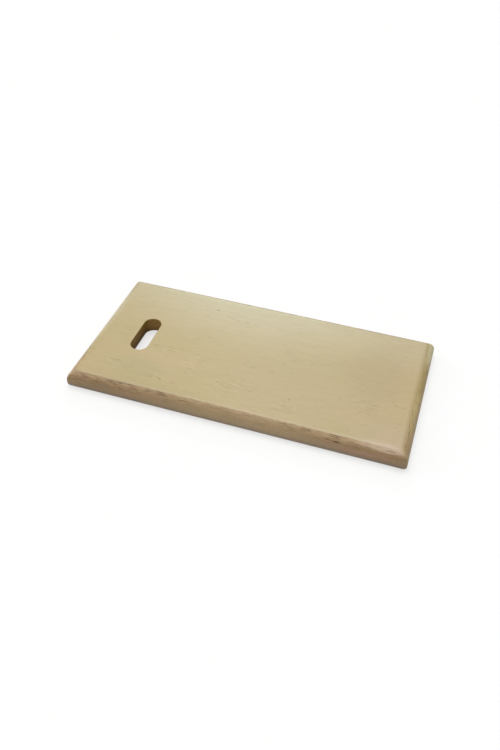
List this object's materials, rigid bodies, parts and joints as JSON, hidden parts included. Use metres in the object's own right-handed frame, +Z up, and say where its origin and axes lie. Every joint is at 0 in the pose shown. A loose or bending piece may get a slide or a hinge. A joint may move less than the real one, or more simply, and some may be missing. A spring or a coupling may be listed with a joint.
{
  "type": "transfer board",
  "caption": "Rectangular plywood transfer board with rounded edges and a through hand slot near one end, bridging two seats so that a person can slide across.",
  "frame": {"origin": "middle of the underside, on the plane that the board lies on", "axes": "+X along the board's length, away from the end with the hand slot; +Y across its width; +Z up, out of the face that the person slides on"},
  "size_m": [0.61, 0.305, 0.032],
  "materials": {
    "birch_face_veneer": "sanded birch face veneer under satin clear lacquer",
    "birch_long_ply": "rotary-cut birch ply, grain along the board, lacquered edge",
    "birch_cross_ply": "rotary-cut birch ply, grain across the board, lacquered edge",
    "phenolic_glue": "cured dark brown resin glue line"
  },
  "bodies": {
    "root": {"back_veneer": "birch_face_veneer", "cross_ply_01": "birch_cross_ply", "cross_ply_02": "birch_cross_ply", "cross_ply_03": "birch_cross_ply", "cross_ply_04": "birch_cross_ply", "cross_ply_05": "birch_cross_ply", "cross_ply_06": "birch_cross_ply", "cross_ply_07": "birch_cross_ply", "cross_ply_08": "birch_cross_ply", "cross_ply_09": "birch_cross_ply", "cross_ply_10": "birch_cross_ply", "cross_ply_11": "birch_cross_ply", "long_ply_01": "birch_long_ply", "long_ply_02": "birch_long_ply", "long_ply_03": "birch_long_ply", "long_ply_04": "birch_long_ply", "long_ply_05": "birch_long_ply", "long_ply_06": "birch_long_ply", "long_ply_07": "birch_long_ply", "long_ply_08": "birch_long_ply", "long_ply_09": "birch_long_ply", "long_ply_10": "birch_long_ply", "face_veneer": "birch_face_veneer", "glue_films": "phenolic_glue"}
  },
  "joints": []
}
